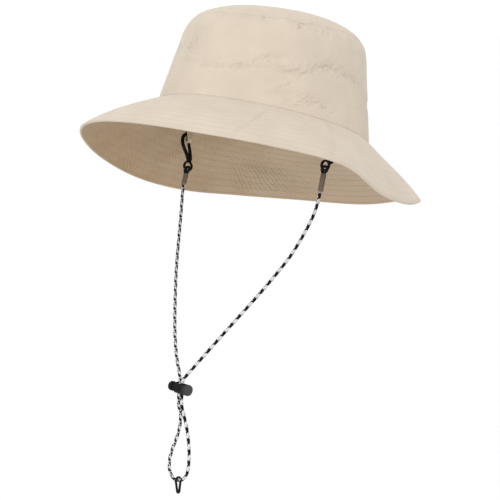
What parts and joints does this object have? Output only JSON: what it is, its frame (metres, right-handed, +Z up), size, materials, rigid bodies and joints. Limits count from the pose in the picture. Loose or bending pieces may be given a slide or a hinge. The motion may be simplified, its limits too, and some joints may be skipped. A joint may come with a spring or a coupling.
{
  "type": "sun hat with a clip-on chin cord",
  "caption": "Soft wide-brimmed bucket sun hat with a flat-domed crown and a chin cord held by snap hooks, a push-button cord lock and a pull ring.",
  "frame": {"origin": "middle of the oval where the crown meets the brim, where the hat sits on a head", "axes": "+Z up, -Y towards the front of the wearer, +X towards the wearer's left"},
  "size_m": [0.273, 0.3122, 0.4063],
  "materials": {
    "cloth": "matte beige woven nylon",
    "moulded": "black moulded plastic",
    "shrink": "grey-brown shrunk sleeve",
    "braid": "black and white braided cord"
  },
  "bodies": {
    "hat": {"crown_tip": "cloth", "crown_side": "cloth", "brim": "cloth", "fabric_loop_right": "cloth", "fabric_loop_left": "cloth", "snap_hook_right": "moulded", "snap_hook_left": "moulded", "cord_bight_right": "braid", "cord_bight_left": "braid", "cord_sleeve_right": "shrink", "cord_sleeve_left": "shrink", "chin_cord": "braid", "cord_lock_barrel": "moulded", "pull_ring": "moulded"},
    "plunger": {"cord_lock_plunger": "moulded"}
  },
  "joints": [
    {"name": "plunger_slide", "type": "slide", "parent": "hat", "child": "plunger", "axis": [0.9945, 0, -0.1045], "range_m": [0, 0.002], "stiffness_N_per_m": 500}
  ]
}
